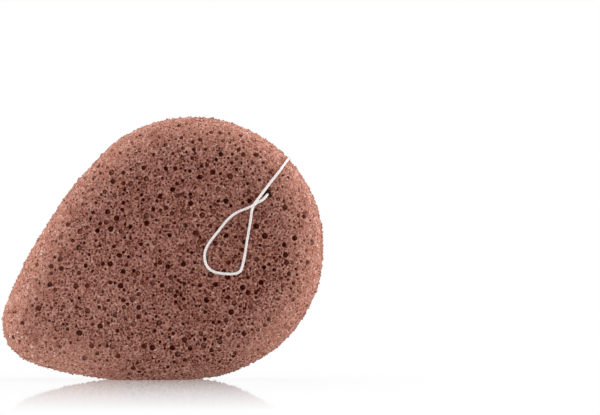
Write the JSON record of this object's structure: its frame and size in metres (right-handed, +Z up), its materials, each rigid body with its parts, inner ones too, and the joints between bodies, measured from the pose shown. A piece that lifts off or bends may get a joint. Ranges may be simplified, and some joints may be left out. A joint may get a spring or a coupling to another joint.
{
  "type": "konjac sponge",
  "caption": "Drop-shaped konjac face sponge of open-celled plant-fibre foam with crowned faces and rounded edges, with a cotton string loop through its blunt end for hanging it to dry.",
  "frame": {"origin": "on the floor, under the middle of the foam's box, with the drop standing on its lower flank as in the picture", "axes": "+X along the floor from the tip to the blunt end, +Y from the front face with the loop to the back face, +Z up"},
  "size_m": [0.0794, 0.0338, 0.0651],
  "materials": {
    "konjac_foam": "matte open-celled foam",
    "cotton_string": "twisted cotton, matte"
  },
  "bodies": {
    "sponge": {"sponge_body": "konjac_foam", "edge_strand": "cotton_string", "stitch_strand": "cotton_string", "back_knot": "cotton_string", "long_tail": "cotton_string", "short_tail": "cotton_string"},
    "loop": {"hanging_loop": "cotton_string"}
  },
  "joints": [
    {"name": "loop_lift", "type": "hinge", "parent": "sponge", "child": "loop", "pos_m": [0.02616, -0.01543, 0.04564], "axis": [-0.8788, 0, 0.4772], "range_deg": [0, 170]}
  ]
}
